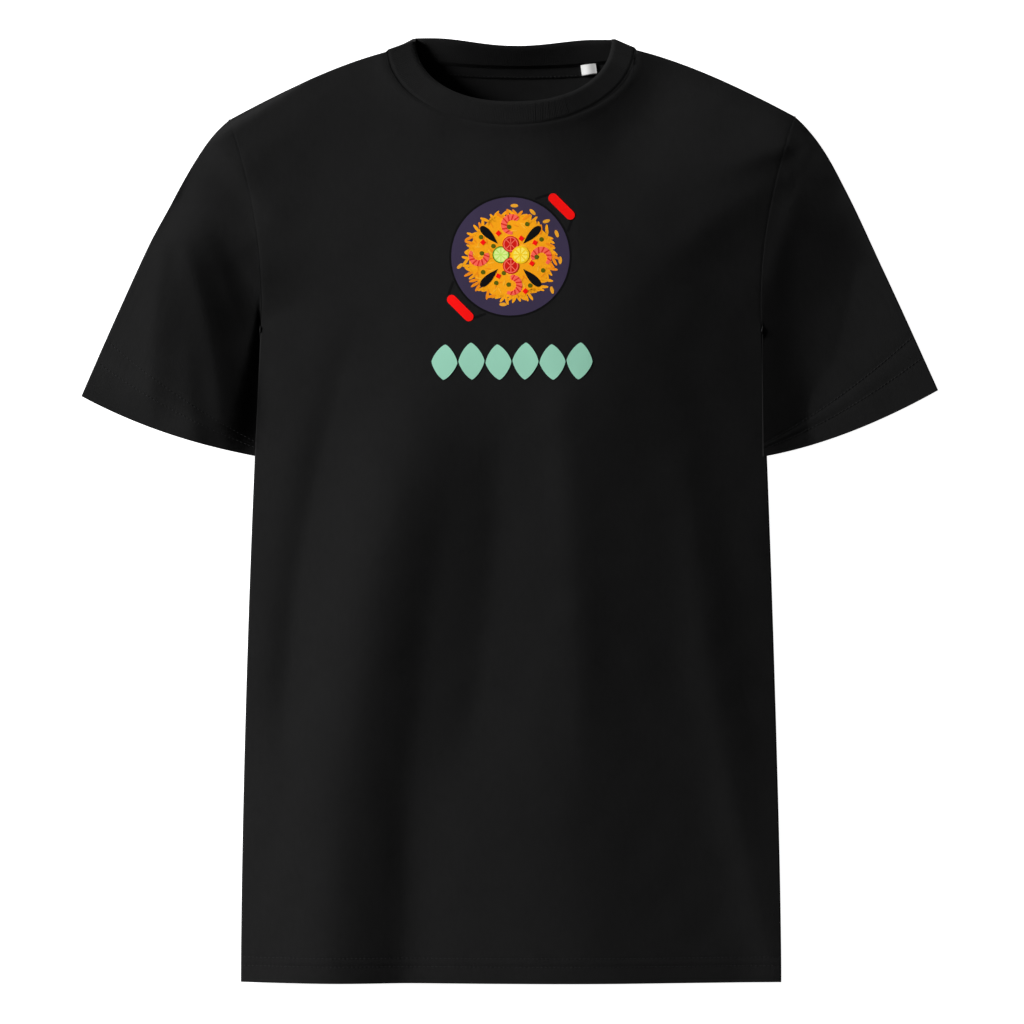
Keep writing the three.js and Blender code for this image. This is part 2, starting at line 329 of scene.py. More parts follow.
def new_object(name, points, faces, material):
    """A smooth-shaded mesh object from points in millimetres."""
    mesh = bpy.data.meshes.new(name)
    mesh.from_pydata((np.asarray(points) * MM).tolist(), [], [list(map(int, f)) for f in faces])
    mesh.validate()
    mesh.shade_smooth()
    mesh.set_sharp_from_angle(angle=math.radians(60))
    if material:
        mesh.materials.append(material)
    obj = bpy.data.objects.new(name, mesh)
    bpy.context.scene.collection.objects.link(obj)
    return obj


def add_cloth_map(obj, coordinates):
    """Stores each point's place on the flat cloth, in millimetres, for the knit."""
    layer = obj.data.uv_layers.new(name="cloth")
    index = np.zeros(len(obj.data.loops), np.int32)
    obj.data.loops.foreach_get("vertex_index", index)
    layer.data.foreach_set("uv", np.asarray(coordinates, np.float32)[index].ravel())


def sheet_object(name, outer, thickness, flat, material, wrap=False):
    """A closed sheet under an outer grid; thickness is a number or a grid, flat the knit's coordinates."""
    rows, columns = outer.shape[:2]
    inner = outer - normals_of(outer, wrap) * (np.ones((rows, columns)) * thickness)[..., None]
    points = np.concatenate((outer.reshape(-1, 3), inner.reshape(-1, 3)))
    count = rows * columns
    index = np.arange(count).reshape(rows, columns)
    faces = [grid_faces(rows, columns, 0, wrap, False), grid_faces(rows, columns, count, wrap, True)]
    faces.append(rim_faces(index[0], index[0] + count, wrap))
    faces.append(rim_faces(index[-1], index[-1] + count, wrap)[:, ::-1])
    if not wrap:
        faces.append(rim_faces(index[:, 0], index[:, 0] + count, False)[:, ::-1])
        faces.append(rim_faces(index[:, -1], index[:, -1] + count, False))
    obj = new_object(name, points, np.concatenate(faces), material)
    add_cloth_map(obj, np.concatenate((flat.reshape(-1, 2), flat.reshape(-1, 2))))
    return obj


def declare(obj, slot, *nodes):
    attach(obj, "root")
    if nodes:
        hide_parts(*nodes)
    return obj


# ------------------------------------------------------------------ materials


def linear(srgb):
    """A linear colour from 8-bit sRGB numbers."""
    return [(c / 255 / 12.92) if c <= 10 else ((c / 255 + 0.055) / 1.055) ** 2.4 for c in srgb]


class Nodes:
    """Short names for building a material's node tree."""

    def __init__(self, name):
        self.material = bpy.data.materials.new(name)
        self.material.use_nodes = True
        self.tree = self.material.node_tree
        self.shader = self.tree.nodes["Principled BSDF"]

    def add(self, kind, **settings):
        node = self.tree.nodes.new(kind)
        for key, value in settings.items():
            setattr(node, key, value)
        return node

    def link(self, output, socket):
        self.tree.links.new(output, socket)

    def math(self, operation, a, b=0.5):
        node = self.add("ShaderNodeMath", operation=operation)
        for socket, value in zip(node.inputs, (a, b)):
            if isinstance(value, (int, float)):
                socket.default_value = value
            else:
                self.link(value, socket)
        return node.outputs[0]

    def noise(self, vector, scale, detail=3.0):
        node = self.add("ShaderNodeTexNoise")
        node.inputs["Scale"].default_value = scale
        node.inputs["Detail"].default_value = detail
        self.link(vector, node.inputs["Vector"])
        return node.outputs["Fac"]

    def stretched(self, vector, scale):
        node = self.add("ShaderNodeMapping")
        node.inputs["Scale"].default_value = scale
        self.link(vector, node.inputs["Vector"])
        return node.outputs["Vector"]

    def between(self, fac, low, high):
        """A colour between two, by fac."""
        node = self.add("ShaderNodeMix", data_type="RGBA")
        self.link(fac, node.inputs["Factor"])
        node.inputs["A"].default_value = (*low, 1)
        node.inputs["B"].default_value = (*high, 1)
        return node.outputs["Result"]

    def bump(self, height, strength, distance, below=None):
        node = self.add("ShaderNodeBump")
        node.inputs["Strength"].default_value = strength
        node.inputs["Distance"].default_value = distance
        self.link(height, node.inputs["Height"])
        if below is not None:
            self.link(below, node.inputs["Normal"])
        return node.outputs["Normal"]

    def cloth_axes(self):
        """The two coordinates on the flat cloth, in millimetres."""
        uv = self.add("ShaderNodeUVMap", uv_map="cloth")
        split = self.add("ShaderNodeSeparateXYZ")
        self.link(uv.outputs["UV"], split.inputs[0])
        return uv.outputs["UV"], split.outputs["X"], split.outputs["Y"]


WALE = 0.75  # width of one column of knit stitches, mm
COURSE = 0.62  # height of one row


def knit_height(n, x, y):
    """The V-shaped stitches of plain jersey: columns that lean left and right by turns."""
    column = n.math("FRACT", n.math("DIVIDE", x, WALE))
    lean = n.math("ABSOLUTE", n.math("SUBTRACT", column, 0.5))
    row = n.math("ADD", n.math("DIVIDE", y, COURSE), n.math("MULTIPLY", lean, 1.6))
    loop = n.math("SINE", n.math("MULTIPLY", row, 2 * math.pi))
    groove = n.math("SINE", n.math("MULTIPLY", n.math("DIVIDE", x, WALE), 2 * math.pi))
    return n.math("ADD", n.math("MULTIPLY", loop, 0.5), n.math("MULTIPLY", groove, 0.35))


def jersey_material(name, dark, light, sheen=0.01):
    n = Nodes(name)
    cloth, x, y = n.cloth_axes()
    fuzz = n.noise(cloth, 1.9, 4)
    streaks = n.noise(n.stretched(cloth, (0.30, 0.11, 1.0)), 1.0, 2)
    share = n.math("ADD", n.math("MULTIPLY", fuzz, 0.4), n.math("MULTIPLY", streaks, 0.6))
    n.link(n.between(share, dark, light), n.shader.inputs["Base Color"])
    n.shader.inputs["Roughness"].default_value = 0.92
    n.shader.inputs["Specular IOR Level"].default_value = 0.03
    n.shader.inputs["Sheen Weight"].default_value = sheen
    n.shader.inputs["Sheen Roughness"].default_value = 0.5
    stitches = n.bump(knit_height(n, x, y), 0.45, 0.00012)
    n.link(n.bump(n.noise(cloth, 0.9, 5), 0.35, 0.0003, stitches), n.shader.inputs["Normal"])
    return n.material


JERSEY_DARK = (0.0085, 0.0085, 0.0086)
JERSEY_LIGHT = (0.0135, 0.0135, 0.0136)
jersey = jersey_material("black_jersey", JERSEY_DARK, JERSEY_LIGHT)
rib = jersey_material("black_rib", JERSEY_DARK, JERSEY_LIGHT)

# ------------------------------------------------------------------ the body

WALL = np.array((0.35, 0.7, 0.9, 1.0))  # shares of the way down a side wall
EDGE = np.array((0, 0.25, 0.6, 1.1, 1.8, 3.0, 5.0, 8.0, 12.0))  # mm in from an edge


def drop_wall(line, share_down, inward):
    """Copies of an edge carried down to the back layer, or just tucked under where share_down is 0."""
    strips = []
    for share in WALL:
        strip = line.copy()
        down = (line[:, 2] - WALL_FOOT - CLOTH) * share_down + 1.2 * (1 - share_down)
        strip[:, 2] -= share * down
        strip[:, :2] += np.outer(0.9 * share * share_down, inward)
        strips.append(strip)
    return strips


def make_front():
    width, length = 2 * HEM_HALF, UNDERARM[1] - HEM_Y + 214
    across = np.concatenate((EDGE, np.linspace(12, width - 12, 129)[1:-1], width - EDGE[::-1])) / width
    rows = (np.linspace(0, 27, 31), np.linspace(27, length - 12, 206)[1:-1], length - EDGE[::-1])
    v = np.concatenate(rows) / length
    across, v = np.meshgrid(across, v)
    x, y = body_plan(across, v, NECK_DROP_FRONT)
    on_side = 1 - smoothstep(y, UNDERARM[1] - 12, UNDERARM[1] + 8)
    top_share = across_to_top(across)
    on_shoulder = 1 - smoothstep(np.minimum(top_share, 1 - top_share), 0.235, 0.25)
    side_edge = np.minimum(across, 1 - across) * width
    roll = (1 - rounded(side_edge / EDGE_ROUND)) * on_side
    roll = np.maximum(roll, (1 - rounded((1 - v) * length / EDGE_ROUND)) * on_shoulder)
    grid = np.stack((x, y, front_surface(x, y) - EDGE_ROUND * roll), -1)
    left = drop_wall(grid[:, 0], on_side[:, 0], (1, 0))
    right = drop_wall(grid[:, -1], on_side[:, -1], (-1, 0))
    grid = np.concatenate((np.stack(left[::-1], 1), grid, np.stack(right, 1)), 1)
    corner = np.ones(len(WALL))
    top = drop_wall(grid[-1], np.concatenate((corner, on_shoulder[-1], corner)), (0, -1))
    grid = np.concatenate((grid, np.stack(top)))
    obj = sheet_object("front_panel_cloth", grid, CLOTH, grid[..., :2], jersey)
    return declare(obj, "jersey", "front_panel")


def make_back():
    across, v = np.meshgrid(np.linspace(0, 1, 61), np.linspace(0, 1, 101))
    x, y = body_plan(across, v, NECK_DROP_BACK)
    shrink = 1 - 1.6 / HEM_HALF
    x = x * shrink
    outer = np.stack((x, y, back_height(x, y)), -1)
    obj = sheet_object("back_panel_cloth", outer, CLOTH, np.stack((x, y), -1), jersey)
    return declare(obj, "jersey", "back_panel")


front = make_front()
back = make_back()

# ------------------------------------------------------------------ sleeves

# The join, the base and the folds come from the same kind of fit as the body's, made for each sleeve. Only
# the right sleeve's fifth fold was changed afterwards.
SLEEVE_JOIN = {-1: 0.47, 1: 0.21}  # share of the sleeve over which the body's shape passes into its own
SLEEVE_BASE = {-1: (17.0, -0.078, -0.008), 1: (22.1, -0.083, 0.042)}  # height, rise outwards, rise upwards
SLEEVE_FOLDS = {
    -1: [
        (((-277, 247), (-235, 164), (-230, 32)), 44, 13, 4.2, 6.3, 0.32, 0.27),
        (((-225, 210), (-201, 130), (-182, 20)), 20.5, 13, -7.5, 28, 0.41, 0.25),
        (((-274, 235), (-292, 158), (-290, 50)), 35, 44, 4.2, 3, 0.19, 0.25),
        (((-248, 200), (-274, 110), (-247, 30)), 23, 40, 7.5, 7.5, 0.76, 0.25),
        (((-249, 247), (-290, 160), (-290, 65)), 12, 44, 4.3, 28, 0.15, 0.25),
        (((-235, 319), (-269, 274), (-288, 212)), 29, 17, -7.5, 4, 0.15, 0.31),
    ],
    1: [
        (((254, 316), (211, 199), (192, 79)), 50, 13.5, 3.9, 20, 0.15, 0),
        (((246, 298), (202, 137), (243, 81)), 36.5, 50, -7.7, 28, 0.15, 0),
        (((269, 236), (278, 131), (290, 112)), 5, 50, -2.6, 17.5, 0.6, 0),
        (((267, 251), (251, 161), (244, 65)), 42, 48, -3.7, 20.5, 0.2, 0),
        (((239, 279), (342, 145), (352, 40)), 18.5, 46, -9.5, 14, 0.35, 0),
        (((222, 288), (256, 272), (265, 262)), 13.5, 20, -3.1, 7, 0.31, 0),
    ],
}
SLEEVE_WIDTH = 160.0
SLEEVE_LENGTH = 165.0
ARMHOLE_LINE = 1.3  # how far the sunk line along the armhole reaches down the sleeve
UNDER_BODY = 0.6  # how deep the sleeve's head is tucked under the body
SLEEVE_TUCK = 3.4  # how far the left sleeve sinks where it runs in under the body
TUCK_REACH = 32  # how far out from the sleeve's inner edge it sinks
TUCK_BLEND = (1, 24)  # the stretch below the armhole over which the sinking sets in
INNER_ROLL = 0.4  # radius of the fold along the inner edge
SLEEVE_FOOT = 0.15  # height of the underside over the floor


def sleeve_plan(side, s, t):
    """Plan of a sleeve: s from the outer edge to the inner one, t from the armhole to the cuff."""
    tip = SLEEVE_TIP[side]
    outer = (SHOULDER, (254, HEM_Y + 676), (276, HEM_Y + 634), tip)
    cuff = (tip, (305, tip[1] - 23), (255, HEM_Y + 433), CUFF_INNER)
    s, t = s[..., None], t[..., None]
    corners = [np.array(corner) for corner in (SHOULDER, UNDERARM, tip, CUFF_INNER)]
    along = mix(bezier(ARMHOLE, 1 - s[..., 0]), bezier(cuff, s[..., 0]), t)
    over = mix(bezier(outer, t[..., 0]), mix(corners[1], corners[3], t), s)
    plan = along + over - mix(mix(corners[0], corners[1], s), mix(corners[2], corners[3], s), t)
    return side * plan[..., 0], plan[..., 1]


def sleeve_height(side, x, y, t):
    base, outwards, neckwards = SLEEVE_BASE[side]
    own = base + outwards * (side * x - 200) + neckwards * (y - 150)
    own = own + sum(fold_height(f, x, y) for f in SLEEVE_FOLDS[side])
    seams = hem_relief((1 - t) * SLEEVE_LENGTH, CUFF_DEPTH)
    seams = seams - SEAM_SINK * np.exp(-((t * SLEEVE_LENGTH / ARMHOLE_LINE) ** 2))
    seams = seams - UNDER_BODY * smoothstep(-t * SLEEVE_LENGTH, 0.2, 1.0)
    height = mix(front_height(x, y), own, smoothstep(t, 0, SLEEVE_JOIN[side]))
    return np.maximum(height, 4.0) + seams + 0.35 * ripple(x, y, 30.0, 3.0)


def make_sleeve(side, name, node):
    """A closed tube: its top, the wall at its inner edge, its underside and the wall at its outer edge."""
    top = np.concatenate((EDGE, np.linspace(12, SLEEVE_WIDTH - 12, 50)[1:-1], SLEEVE_WIDTH - EDGE[::-1]))
    wall = np.array((0.3, 0.65, 0.9))
    under = np.linspace(SLEEVE_WIDTH - 1.2, 1.2, 30)
    s_ring = np.concatenate((top, np.full(3, SLEEVE_WIDTH), under, np.zeros(3))) / SLEEVE_WIDTH
    sunk = np.concatenate((np.zeros(len(top)), wall, np.ones(len(under)), wall[::-1]))
    tucked = [-1.0, -0.2]
    near_armhole = np.linspace(0, 6, 7)
    main = np.linspace(6, SLEEVE_LENGTH - 22, 52)[1:-1]
    at_cuff = SLEEVE_LENGTH - np.linspace(22, 0, 25)
    rows = np.concatenate((tucked, near_armhole, main, at_cuff))
    s, t = np.meshgrid(s_ring, rows / SLEEVE_LENGTH)
    sunk = np.broadcast_to(sunk, s.shape)
    x, y = sleeve_plan(side, s, t)
    z = sleeve_height(side, x, y, t)
    from_body = (1 - s) * SLEEVE_WIDTH
    if side < 0:
        sinking = 1 - smoothstep(from_body, 0, TUCK_REACH)
        z = z - SLEEVE_TUCK * sinking * smoothstep(t * SLEEVE_LENGTH, *TUCK_BLEND)
    inner_roll = INNER_ROLL * (1 - rounded(from_body / INNER_ROLL))
    roll = np.maximum(1 - rounded(s * SLEEVE_WIDTH / EDGE_ROUND), inner_roll)
    z = z - EDGE_ROUND * roll * (sunk < 1)
    z = mix(z, SLEEVE_FOOT, sunk)
    outer = np.stack((x, y, z), -1)
    flat = np.stack((s * SLEEVE_WIDTH * np.where(sunk < 1, 1, -1), t * SLEEVE_LENGTH), -1)
    if side < 0:
        outer, flat = outer[:, ::-1], flat[:, ::-1]
    obj = sheet_object(name, outer, CLOTH, flat, jersey, wrap=True)
    return declare(obj, "jersey", node)


sleeve_left = make_sleeve(-1, "sleeve_left_cloth", "sleeve_left")
sleeve_right = make_sleeve(1, "sleeve_right_cloth", "sleeve_right")

# ------------------------------------------------------------------ collar, neck tape and label

COLLAR_LAP = 1.2  # the collar lies this far over the body's edge
COLLAR_SHIFT = 2.0  # the free edge lies a little to the right
NECK_FULLNESS = 0.9  # under 1 makes the neck's opening fuller than an ellipse
COLLAR_RISE = 2.8  # how much higher up the picture it reaches there
COLLAR_STAND = 5.0  # how far the collar stands up behind the neck
COLLAR_STAND_FRONT = 2.5  # the same at the front
COLLAR_SINK = 0.9  # how deep its seam lies in the body's front
COLLAR_OVER_BACK = 1.0  # how high its seam lies over the body's back
RIB_PITCH = 1.35
RIB_DEPTH = 0.05
SAMPLES_PER_RIB = 6


def collar_lines(turn):
    """Points of the collar's seam and free edge at each turn around the neck, 0 at the right neck point."""
    soft = 0.06
    dip = (np.hypot(np.sin(turn), soft) - soft) / (math.hypot(1, soft) - soft)
    in_front = np.sin(turn) > 0
    seam_x = (NECK_POINT[0] + COLLAR_LAP) * np.cos(turn)
    seam_y = NECK_POINT[1] - np.where(in_front, NECK_DROP_FRONT + COLLAR_LAP, NECK_DROP_BACK) * dip
    full = np.sign(np.cos(turn)) * np.abs(np.cos(turn)) ** NECK_FULLNESS
    edge_x = COLLAR_EDGE[0] * full + COLLAR_SHIFT
    sag = COLLAR_DROP_BACK * (1 - smoothstep(np.abs(np.cos(turn)), 0, 0.8))
    to_back = smoothstep(-np.sin(turn), 0, 0.15)
    drop = -COLLAR_DROP_FRONT * dip**NECK_FULLNESS
    edge_y = COLLAR_EDGE[1] + np.where(in_front, drop, COLLAR_RISE * to_back - sag)
    front_z = front_height(seam_x, seam_y) - COLLAR_SINK
    seam_z = mix(front_z, back_height(seam_x, seam_y) + COLLAR_OVER_BACK, to_back)
    edge_z = seam_z + np.where(in_front, COLLAR_STAND_FRONT * dip, COLLAR_STAND * to_back)
    return np.stack((seam_x, seam_y, seam_z), -1), np.stack((edge_x, edge_y, edge_z), -1)


def even_turns(count):
    """Turns around the neck at even distances along the middle of the collar."""
    turn = np.linspace(0, 2 * math.pi, 1441)
    seam, edge = collar_lines(turn)
    middle = (seam + edge) / 2
    run = np.concatenate(([0], np.cumsum(np.linalg.norm(np.diff(middle, axis=0), axis=1))))
    return np.interp(np.arange(count) / count * run[-1], run, turn), run[-1]


def make_collar():
    _, length = even_turns(8)
    ribs = round(length / RIB_PITCH)
    turn, length = even_turns(ribs * SAMPLES_PER_RIB)
    seam, edge = collar_lines(turn)
    across = edge - seam
    width = np.linalg.norm(across, axis=-1, keepdims=True)
    tangent = np.roll(seam, -1, 0) - np.roll(seam, 1, 0)
    out = -np.cross(tangent, across)
    out /= np.maximum(np.linalg.norm(out, axis=-1, keepdims=True), 1e-9)
    place = np.concatenate((np.linspace(0, 1, 11), np.linspace(1, 0, 9)[1:-1]))
    outside = np.arange(len(place)) < 11
    relief = RIB_DEPTH * np.cos(np.arange(len(turn)) / SAMPLES_PER_RIB * 2 * math.pi)
    rows = []
    flats = []
    for p, is_out in zip(place, outside):
        inset = np.minimum(p * width, (1 - p) * width)
        bulge = rounded(np.minimum(inset / 1.6, 1)) * RIB / 2
        lift = bulge + relief[:, None] * (inset > 1.2)
        rows.append(seam + across * p + out * (lift if is_out else -lift))
        flats.append(np.stack((np.arange(len(turn)) / len(turn) * length, np.full(len(turn), p * 18.5)), -1))
    grid = np.stack(rows)  # [place around the section][turn]
    faces = grid_faces(len(grid), len(turn), 0, True, False)
    index = np.arange(grid.shape[0] * grid.shape[1]).reshape(grid.shape[:2])
    faces = np.concatenate((faces, rim_faces(index[-1], index[0], True)))
    obj = new_object("collar_rib", grid.reshape(-1, 3), faces, rib)
    add_cloth_map(obj, np.stack(flats).reshape(-1, 2))
    return declare(obj, "rib", "collar")


collar = make_collar()

# ---- the tape along the back of the neck, and the size label

TAPE_WIDTH = 10.0


def back_seam(turn):
    """The collar's seam across the back of the neck, at turns from pi to 2 pi."""
    seam, _ = collar_lines(np.asarray(turn))
    return seam


def make_tape():
    turn = np.linspace(math.pi * 1.10, math.pi * 1.90, 181)
    seam = back_seam(turn)
    across = np.linspace(0, 1, 13)
    x, share = np.meshgrid(seam[:, 0], across)
    y = seam[None, :, 1] + 2.0 - TAPE_WIDTH * share
    z = back_height(x, y) + 0.7 + 0.1 * np.sin(share * math.pi) + 0.08 * ripple(x, y, 9.0, 4.0)
    outer = np.stack((x, y, z), -1)[::-1]
    obj = sheet_object("neck_tape_woven", outer, 0.6, outer[..., :2], tape_cloth)
    return declare(obj, "tape", "neck_tape")


def make_label():
    """A short folded loop of satin, sewn in under the tape and blank."""
    centre = (LABEL_LOW + LABEL_HIGH) / 2 + np.array((0, 1.5, 0))
    width, height, turn = 12.4, 9.0, math.radians(8)
    u, v = np.meshgrid(np.linspace(-0.5, 0.5, 27), np.linspace(-0.5, 0.5, 19))
    x = centre[0] + u * width * math.cos(turn) - v * height * math.sin(turn)
    y = centre[1] + u * width * math.sin(turn) + v * height * math.cos(turn)
    fold = rounded((v + 0.5) * height / 1.2)
    z = back_height(x, y) + 1.7 + 0.9 * fold - 0.5 * (v + 0.5) + 0.35 * np.cos(u * 5.0)
    outer = np.stack((x, y, z), -1)
    obj = sheet_object("size_label_satin", outer, 0.55, np.stack((u * width, v * height), -1), satin)
    return declare(obj, "label", "size_label")


def tape_material():
    n = Nodes("black_tape")
    _, x, y = n.cloth_axes()
    slant = n.math("ABSOLUTE", n.math("SUBTRACT", n.math("FRACT", n.math("DIVIDE", y, 5.0)), 0.5))
    phase = n.math("ADD", n.math("DIVIDE", x, 0.9), n.math("MULTIPLY", slant, 6))
    twill = n.math("SINE", n.math("MULTIPLY", phase, 6.28))
    n.link(n.between(n.math("MULTIPLY_ADD", twill, 0.5), (0.006, 0.006, 0.0061), (0.011, 0.011, 0.0112)),
           n.shader.inputs["Base Color"])
    n.shader.inputs["Roughness"].default_value = 0.85
    n.shader.inputs["Specular IOR Level"].default_value = 0.05
    n.link(n.bump(twill, 0.4, 0.0001), n.shader.inputs["Normal"])
    return n.material


def satin_material():
    n = Nodes("white_satin")
    cloth, _, y = n.cloth_axes()
    threads = n.math("SINE", n.math("MULTIPLY", y, 2 * math.pi / 0.22))
    colour = n.between(n.noise(cloth, 1.2), (0.80, 0.80, 0.79), (0.88, 0.88, 0.87))
    n.link(colour, n.shader.inputs["Base Color"])
    n.shader.inputs["Roughness"].default_value = 0.38
    n.shader.inputs["Specular IOR Level"].default_value = 0.4
    n.link(n.bump(threads, 0.15, 0.00003), n.shader.inputs["Normal"])
    return n.material


tape_cloth = tape_material()
satin = satin_material()
tape = make_tape()
label = make_label()

# ------------------------------------------------------------------ stitching

STITCH = 2.7  # length of a stitch, mm
STITCH_GAP = 0.7
THREAD = 0.2  # half the thickness of the thread


def stitch_row(path, surface_normal=(0, 0, 1)):
    """Points and faces of short rounded stitches along a path of points."""
    path = np.asarray(path, float)
    step = np.linalg.norm(np.diff(path, axis=0), axis=1)
    run = np.concatenate(([0], np.cumsum(step)))
    count = int(run[-1] // (STITCH + STITCH_GAP))
    starts = (np.arange(count) + 0.1) * (STITCH + STITCH_GAP)
    shares = np.array((0, 0.12, 0.5, 0.88, 1.0))
    sizes = np.array((0.3, 0.9, 1.0, 0.9, 0.3)) * THREAD
    rise = np.array((-0.25, 0.02, 0.12, 0.02, -0.25))
    up = np.asarray(surface_normal, float)
    points, faces = [], []
    for start in starts:
        centres = np.stack([np.interp(start + shares * STITCH, run, path[:, k]) for k in range(3)], -1)
        along = centres[-1] - centres[0]
        along /= np.linalg.norm(along)
        side = np.cross(along, up)
        side /= np.linalg.norm(side)
        first = len(points) * 6
        ring = np.arange(6) * math.pi / 3
        spokes = np.outer(np.cos(ring), side) + np.outer(np.sin(ring), up)
        for centre, size, lift in zip(centres, sizes, rise):
            points.append(centre + up * lift + size * spokes)
        for k in range(4):
            a = first + 6 * k
            faces += [(a + i, a + (i + 1) % 6, a + 6 + (i + 1) % 6, a + 6 + i) for i in range(6)]
        faces += [tuple(first + i for i in range(5, -1, -1)), tuple(first + 24 + i for i in range(6))]
    return np.concatenate(points), faces


def stitches(name, rows, material):
    points, faces = [], []
    for path in rows:
        more, quads = stitch_row(path)
        base = sum(len(p) for p in points)
        points.append(more)
        faces += [tuple(i + base for i in face) for face in quads]
    obj = new_object(name, np.concatenate(points), faces, material)
    return declare(obj, "thread")


def thread_material():
    n = Nodes("black_thread")
    where = n.add("ShaderNodeNewGeometry").outputs["Position"]
    n.link(n.between(n.noise(where, 900.0), (0.007, 0.007, 0.0072), (0.016, 0.016, 0.0165)),
           n.shader.inputs["Base Color"])
    n.shader.inputs["Roughness"].default_value = 0.7
    n.shader.inputs["Specular IOR Level"].default_value = 0.15
    return n.material


thread = thread_material()


def hem_path(depth):
    y = np.full(300, HEM_Y + depth)
    x = np.linspace(-1, 1, 300) * (side_half(y) - 2)
    return np.stack((x, y, front_surface(x, y) + 0.06), -1)


def cuff_path(side, depth):
    s, t = np.meshgrid(np.linspace(0.015, 0.985, 150), [1 - depth / SLEEVE_LENGTH])
    x, y = sleeve_plan(side, s, t)
    return np.stack((x, y, sleeve_height(side, x, y, t) + 0.06), -1)[0]


def tape_path(share):
    turn = np.linspace(math.pi * 1.12, math.pi * 1.88, 120)
    seam = back_seam(turn)
    y = seam[:, 1] + 2.0 - TAPE_WIDTH * share
    return np.stack((seam[:, 0], y, back_height(seam[:, 0], y) + 0.8), -1)


hem_stitches = stitches("hem_stitches", [hem_path(HEM_DEPTH), hem_path(HEM_DEPTH - NEEDLE_GAP)], thread)
cuff_rows = [cuff_path(side, depth) for side in (-1, 1) for depth in (CUFF_DEPTH, CUFF_DEPTH - NEEDLE_GAP)]
cuff_stitches = stitches("cuff_stitches", cuff_rows, thread)
tape_stitches = stitches("tape_stitches", [tape_path(0.1), tape_path(0.9)], thread)

# ------------------------------------------------------------------ the printed drawing

PAN = (-0.5, 204.1)  # centre of the pan on the chest
INK_LAYER = 0.05  # each colour lies this much over the one before
INKS = {
    "black": (8, 8, 9),
    "slate": (58, 49, 74),
    "rice": (253, 166, 16),
    "deep_rice": (246, 142, 16),
    "pale_rice": (255, 184, 48),
    "straw": (236, 162, 40),
    "red": (253, 12, 10),
    "tomato": (208, 22, 14),
    "tomato_light": (246, 104, 84),
    "prawn": (255, 102, 84),
    "prawn_stripe": (222, 44, 32),
    "pea": (88, 96, 6),
    "lime_rind": (62, 122, 20),
    "lime": (198, 236, 106),
    "lime_light": (226, 246, 150),
    "lemon": (250, 206, 28),
    "lemon_light": (255, 232, 96),
    "mint": (154, 212, 187),
}


class ChestHeights:
    """The front's height over the printed area, kept on a fine grid."""

    def __init__(self, low, high, step):
        self.low, self.step = np.array(low, float), step
        x = np.arange(low[0], high[0] + step, step)
        y = np.arange(low[1], high[1] + step, step)
        self.z = front_surface(*np.meshgrid(x, y))

    def __call__(self, x, y):
        u, v = (x - self.low[0]) / self.step, (y - self.low[1]) / self.step
        i, j = np.floor(u).astype(int), np.floor(v).astype(int)
        below = mix(self.z[j, i], self.z[j, i + 1], u - i)
        above = mix(self.z[j + 1, i], self.z[j + 1, i + 1], u - i)
        return mix(below, above, v - j)


chest = ChestHeights((-75, 95), (75, 275), 1.5)


class Ink:
    """Flat shapes of one colour that lie on the front of the shirt."""

    def __init__(self, colour, layer):
        self.colour, self.layer = colour, layer
        self.points, self.faces = [], []

    def count(self):
        return sum(len(p) for p in self.points)

    def on_cloth(self, plan, drop=0.0):
        x, y = plan[..., 0] + PAN[0], plan[..., 1] + PAN[1]
        z = chest(x, y) + 0.04 + INK_LAYER * self.layer - drop
        return np.stack((x, y, z), -1)

    def shape(self, centre, outline):
        """A filled shape: its outline, seen from its centre, shrinks ring by ring to the centre."""
        outline = np.asarray(outline, float)
        size = np.max(np.hypot(outline[:, 0], outline[:, 1]))
        rings = max(1, int(size / 2.5))
        shares = np.linspace(1, 0, rings + 1)[:-1]
        plan = np.concatenate([np.asarray(centre) + outline * share for share in shares])
        base, m = self.count(), len(outline)
        skirt = self.on_cloth(np.asarray(centre) + outline * 1.0, 0.5)
        self.points.append(np.concatenate((self.on_cloth(plan), self.on_cloth(np.asarray([centre])), skirt)))
        for r in range(rings - 1):
            a = base + r * m
            self.faces += [(a + i, a + (i + 1) % m, a + m + (i + 1) % m, a + m + i) for i in range(m)]
        last, tip, foot = base + (rings - 1) * m, base + rings * m, base + rings * m + 1
        self.faces += [(last + i, last + (i + 1) % m, tip) for i in range(m)]
        self.faces += [(foot + i, foot + (i + 1) % m, base + (i + 1) % m, base + i) for i in range(m)]

    def ribbon(self, middle, half):
        """A band along a line of points; half is half its width at each point."""
        middle = np.asarray(middle, float)
        run = np.gradient(middle, axis=0)
        side = np.stack((-run[:, 1], run[:, 0]), -1) / np.linalg.norm(run, axis=1, keepdims=True)
        half = (np.ones(len(middle)) * half)[:, None]
        rows = [middle + side * half * k for k in (1, 0.33, -0.33, -1)]
        edge = [self.on_cloth(rows[0], 0.5), self.on_cloth(rows[3], 0.5)]
        grid = np.stack([edge[0]] + [self.on_cloth(row) for row in rows] + [edge[1]])
        self.faces += grid_faces(6, len(middle), self.count(), False, True).tolist()
        self.points.append(grid.reshape(-1, 3))

    def finish(self):
        n = Nodes("ink_" + self.colour)
        cloth, x, y = n.cloth_axes()
        colour = linear(INKS[self.colour])
        worn = [c * 0.95 for c in colour]
        n.link(n.between(n.noise(cloth, 1.5), worn, colour), n.shader.inputs["Base Color"])
        n.shader.inputs["Roughness"].default_value = 0.75
        n.shader.inputs["Specular IOR Level"].default_value = 0.08
        n.link(n.bump(knit_height(n, x, y), 0.3, 0.00008), n.shader.inputs["Normal"])
        points = np.concatenate(self.points)
        obj = new_object("print_" + self.colour, points, self.faces, n.material)
        add_cloth_map(obj, points[:, :2])
        return declare(obj, "print")


